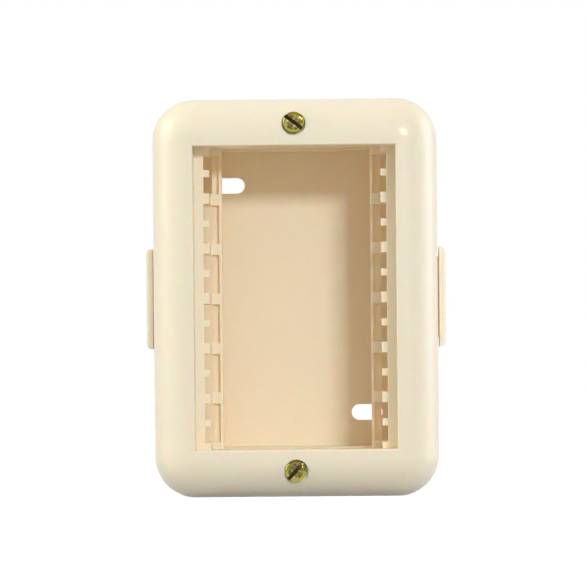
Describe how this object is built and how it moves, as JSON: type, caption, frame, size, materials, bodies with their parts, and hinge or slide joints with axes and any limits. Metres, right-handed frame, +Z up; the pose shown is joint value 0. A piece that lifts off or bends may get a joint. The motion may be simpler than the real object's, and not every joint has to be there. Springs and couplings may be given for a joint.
{
  "type": "surface mount back box",
  "caption": "Upright surface mount back box for snap-in wiring modules: deep base, screwed-on cover with a rounded rim, an open window, clip rails and cable-entry plates.",
  "frame": {"origin": "centre of the flat back face that lies on the wall", "axes": "+Z up the wall as installed, +Y into the wall, so the window faces -Y, and +X to the right as seen from the front"},
  "size_m": [0.0676, 0.0433, 0.0896],
  "materials": {
    "ivory_plastic": "moulded ivory with a soft gloss",
    "passivated_steel": "turned steel with a yellow passivated coat",
    "insert_brass": "turned brass"
  },
  "bodies": {
    "root": {"back_box": "ivory_plastic", "front_cover": "ivory_plastic", "entry_plate_left": "ivory_plastic", "entry_plate_right": "ivory_plastic", "cover_screws": "passivated_steel", "threaded_inserts": "insert_brass"}
  },
  "joints": []
}
